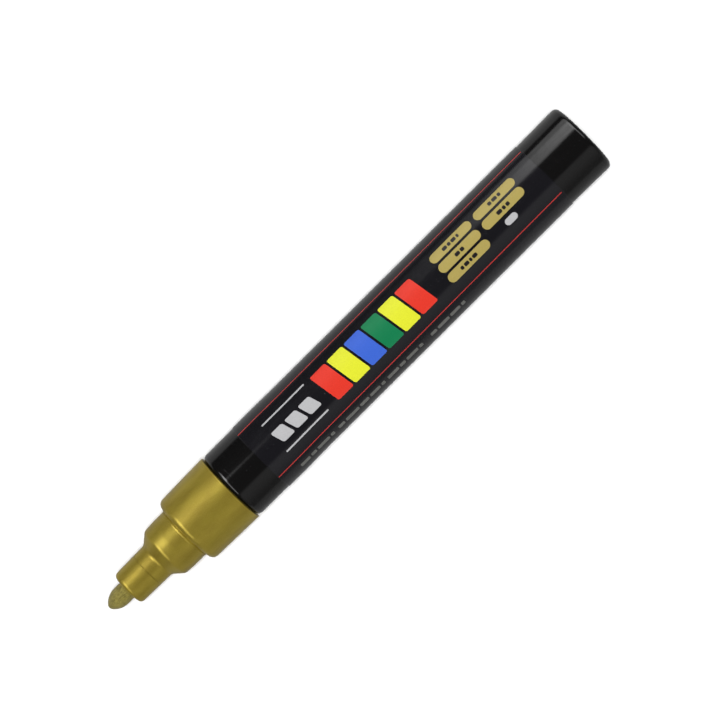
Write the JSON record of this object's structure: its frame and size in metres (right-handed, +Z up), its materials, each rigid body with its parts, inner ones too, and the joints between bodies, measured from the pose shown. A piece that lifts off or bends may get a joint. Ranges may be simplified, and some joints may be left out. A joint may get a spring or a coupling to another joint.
{
  "type": "paint marker",
  "caption": "Uncapped valve-action paint marker: black barrel with printed label, stepped gold front section and round bullet nib that is pressed to open a spring valve.",
  "frame": {"origin": "under the middle of the pen's length, on the surface it lies on", "axes": "+X along the pen from nib to closed tail, +Z up through the printed side of the label"},
  "size_m": [0.1272, 0.0156, 0.0156],
  "materials": {
    "barrel_black": "polished black moulding",
    "label_film": "satin black printed film",
    "gold_plastic": "pearl gold pigmented moulding",
    "nib_fibre": "bonded fibre soaked in gold paint",
    "wad_fibre": "packed fibre, stained",
    "natural_plastic": "natural white moulding",
    "seat_rubber": "soft black rubber",
    "spring_steel": "drawn stainless wire",
    "ball_steel": "polished steel ball",
    "ink_red": "printed ink",
    "ink_blue": "printed ink",
    "ink_green": "printed ink",
    "ink_yellow": "printed ink",
    "ink_grey": "printed ink",
    "ink_gold": "printed gold ink",
    "ink_black": "printed ink"
  },
  "bodies": {
    "marker": {"barrel": "barrel_black", "label_film": "label_film", "front_section": "gold_plastic", "ink_wad": "wad_fibre", "valve_housing": "natural_plastic", "valve_seat": "seat_rubber", "spring_retainer": "natural_plastic", "valve_spring": "spring_steel"},
    "valve_stem": {"valve_stem": "natural_plastic"},
    "nib": {"nib": "nib_fibre"},
    "mixing_ball": {"mixing_ball": "ball_steel"}
  },
  "joints": [
    {"name": "nib_press", "type": "slide", "parent": "marker", "child": "valve_stem", "axis": [1, 0, 0], "range_m": [0, 0.0016], "stiffness_N_per_m": 500, "deforming": ["valve_spring"]},
    {"name": "nib_pull_out", "type": "slide", "parent": "valve_stem", "child": "nib", "axis": [1, 0, 0], "range_m": [-0.028, 0]},
    {"name": "ball_travel", "type": "slide", "parent": "marker", "child": "mixing_ball", "axis": [1, 0, 0], "range_m": [-0.0484, 0.0266]}
  ]
}
